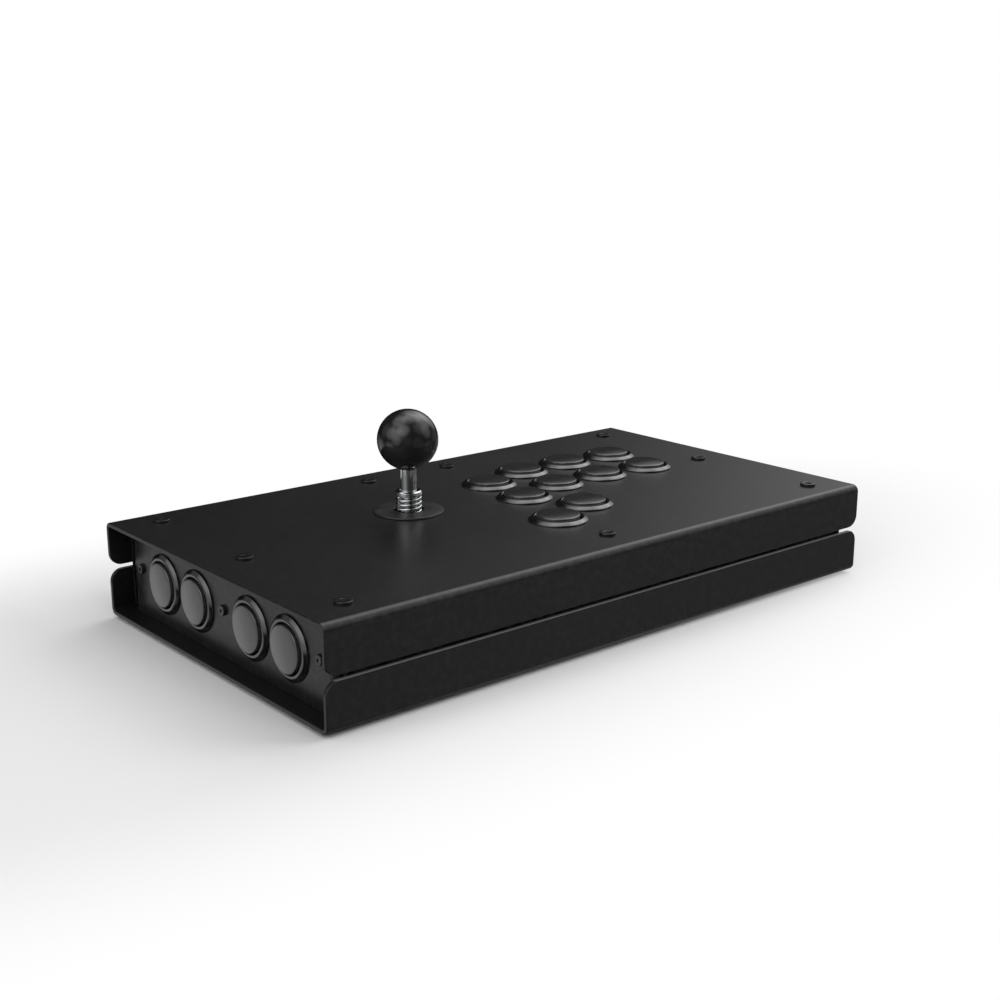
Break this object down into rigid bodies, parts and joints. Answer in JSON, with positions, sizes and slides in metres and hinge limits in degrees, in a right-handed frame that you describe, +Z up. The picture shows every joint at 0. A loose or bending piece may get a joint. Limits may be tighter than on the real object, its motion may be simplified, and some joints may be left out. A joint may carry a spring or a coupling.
{
  "type": "arcade joystick panel",
  "caption": "Low black sheet-metal control box with a ball-top lever on the left, round push buttons on the right and option buttons in the left end.",
  "frame": {"origin": "middle of the footprint, on the table under the base pad", "axes": "+X towards the player's right, along the long side; +Y away from the player; +Z up"},
  "size_m": [0.38, 0.215, 0.113],
  "materials": {
    "powder_coat": "satin black powder coat",
    "frame_black": "matt black",
    "pad_rubber": "matt",
    "button_gloss": "gloss black",
    "plunger_satin": "semi-gloss black",
    "black_screw": "black oxide",
    "zinc_plate": "zinc plated",
    "black_moulding": "matt moulded",
    "nylon": "natural nylon",
    "circuit_board": "green solder mask",
    "polished_steel": "polished",
    "ball_gloss": "polished black",
    "washer_satin": "satin"
  },
  "bodies": {
    "case": {"top_panel": "powder_coat", "bottom_panel": "powder_coat", "left_end_plate": "powder_coat", "right_end_plate": "powder_coat", "inner_frame": "frame_black", "base_pad": "pad_rubber", "button_housing_1": "button_gloss", "button_housing_2": "button_gloss", "button_housing_3": "button_gloss", "button_housing_4": "button_gloss", "button_housing_5": "button_gloss", "button_housing_6": "button_gloss", "button_housing_7": "button_gloss", "button_housing_8": "button_gloss", "button_housing_9": "button_gloss", "button_housing_10": "button_gloss", "side_button_housing_1": "button_gloss", "side_button_housing_2": "button_gloss", "side_button_housing_3": "button_gloss", "side_button_housing_4": "button_gloss", "top_screw_1": "black_screw", "top_screw_2": "black_screw", "top_screw_3": "black_screw", "top_screw_4": "black_screw", "top_screw_5": "black_screw", "top_screw_6": "black_screw", "top_screw_7": "black_screw", "top_screw_8": "black_screw", "top_screw_9": "black_screw", "end_screw_1": "black_screw", "end_screw_2": "black_screw", "end_screw_3": "black_screw", "joystick_mount_plate": "zinc_plate", "joystick_body": "black_moulding", "restrictor_gate": "nylon", "joystick_switch_board": "circuit_board", "control_board": "circuit_board", "usb_socket": "black_moulding"},
    "button_1": {"button_plunger_1": "plunger_satin"},
    "button_2": {"button_plunger_2": "plunger_satin"},
    "button_3": {"button_plunger_3": "plunger_satin"},
    "button_4": {"button_plunger_4": "plunger_satin"},
    "button_5": {"button_plunger_5": "plunger_satin"},
    "button_6": {"button_plunger_6": "plunger_satin"},
    "button_7": {"button_plunger_7": "plunger_satin"},
    "button_8": {"button_plunger_8": "plunger_satin"},
    "button_9": {"button_plunger_9": "plunger_satin"},
    "button_10": {"button_plunger_10": "plunger_satin"},
    "side_button_1": {"side_button_plunger_1": "plunger_satin"},
    "side_button_2": {"side_button_plunger_2": "plunger_satin"},
    "side_button_3": {"side_button_plunger_3": "plunger_satin"},
    "side_button_4": {"side_button_plunger_4": "plunger_satin"},
    "lever_pivot": {"pivot_ring": "nylon"},
    "lever": {"lever_shaft": "polished_steel", "ball_top": "ball_gloss", "spring_collar": "polished_steel", "lever_actuator": "nylon", "lever_spring": "polished_steel"},
    "lower_washer": {"lower_dust_washer": "washer_satin"},
    "washer": {"dust_washer": "washer_satin"}
  },
  "joints": [
    {"name": "button_1_press", "type": "slide", "parent": "case", "child": "button_1", "axis": [0, 0, -1], "range_m": [0, 0.002], "stiffness_N_per_m": 150, "springref_m": -0.004},
    {"name": "button_2_press", "type": "slide", "parent": "case", "child": "button_2", "axis": [0, 0, -1], "range_m": [0, 0.002], "stiffness_N_per_m": 150, "springref_m": -0.004},
    {"name": "button_3_press", "type": "slide", "parent": "case", "child": "button_3", "axis": [0, 0, -1], "range_m": [0, 0.002], "stiffness_N_per_m": 150, "springref_m": -0.004},
    {"name": "button_4_press", "type": "slide", "parent": "case", "child": "button_4", "axis": [0, 0, -1], "range_m": [0, 0.002], "stiffness_N_per_m": 150, "springref_m": -0.004},
    {"name": "button_5_press", "type": "slide", "parent": "case", "child": "button_5", "axis": [0, 0, -1], "range_m": [0, 0.002], "stiffness_N_per_m": 150, "springref_m": -0.004},
    {"name": "button_6_press", "type": "slide", "parent": "case", "child": "button_6", "axis": [0, 0, -1], "range_m": [0, 0.002], "stiffness_N_per_m": 150, "springref_m": -0.004},
    {"name": "button_7_press", "type": "slide", "parent": "case", "child": "button_7", "axis": [0, 0, -1], "range_m": [0, 0.002], "stiffness_N_per_m": 150, "springref_m": -0.004},
    {"name": "button_8_press", "type": "slide", "parent": "case", "child": "button_8", "axis": [0, 0, -1], "range_m": [0, 0.002], "stiffness_N_per_m": 150, "springref_m": -0.004},
    {"name": "button_9_press", "type": "slide", "parent": "case", "child": "button_9", "axis": [0, 0, -1], "range_m": [0, 0.002], "stiffness_N_per_m": 150, "springref_m": -0.004},
    {"name": "button_10_press", "type": "slide", "parent": "case", "child": "button_10", "axis": [0, 0, -1], "range_m": [0, 0.002], "stiffness_N_per_m": 150, "springref_m": -0.004},
    {"name": "side_button_1_press", "type": "slide", "parent": "case", "child": "side_button_1", "axis": [1, 0, 0], "range_m": [0, 0.002], "stiffness_N_per_m": 150, "springref_m": -0.004},
    {"name": "side_button_2_press", "type": "slide", "parent": "case", "child": "side_button_2", "axis": [1, 0, 0], "range_m": [0, 0.002], "stiffness_N_per_m": 150, "springref_m": -0.004},
    {"name": "side_button_3_press", "type": "slide", "parent": "case", "child": "side_button_3", "axis": [1, 0, 0], "range_m": [0, 0.002], "stiffness_N_per_m": 150, "springref_m": -0.004},
    {"name": "side_button_4_press", "type": "slide", "parent": "case", "child": "side_button_4", "axis": [1, 0, 0], "range_m": [0, 0.002], "stiffness_N_per_m": 150, "springref_m": -0.004},
    {"name": "lever_fore_aft", "type": "hinge", "parent": "case", "child": "lever_pivot", "pos_m": [-0.0505, 0.0187, 0.0355], "axis": [1, 0, 0], "range_deg": [-8.5, 8.5], "stiffness_Nm_per_rad": 1.2},
    {"name": "lever_left_right", "type": "hinge", "parent": "lever_pivot", "child": "lever", "pos_m": [-0.0505, 0.0187, 0.0355], "axis": [0, 1, 0], "range_deg": [-8.5, 8.5], "stiffness_Nm_per_rad": 1.2},
    {"name": "lower_washer_slide", "type": "slide", "parent": "case", "child": "lower_washer", "axis": [0, 1, 0], "range_m": [-0.0031, 0.0031]},
    {"name": "washer_slide", "type": "slide", "parent": "lower_washer", "child": "washer", "axis": [1, 0, 0], "range_m": [-0.0031, 0.0031]}
  ],
  "couplings": [
    {"joint": "lower_washer_slide", "follows": "lever_fore_aft", "m_per_rad": -0.0203},
    {"joint": "washer_slide", "follows": "lever_left_right", "m_per_rad": 0.0203}
  ]
}
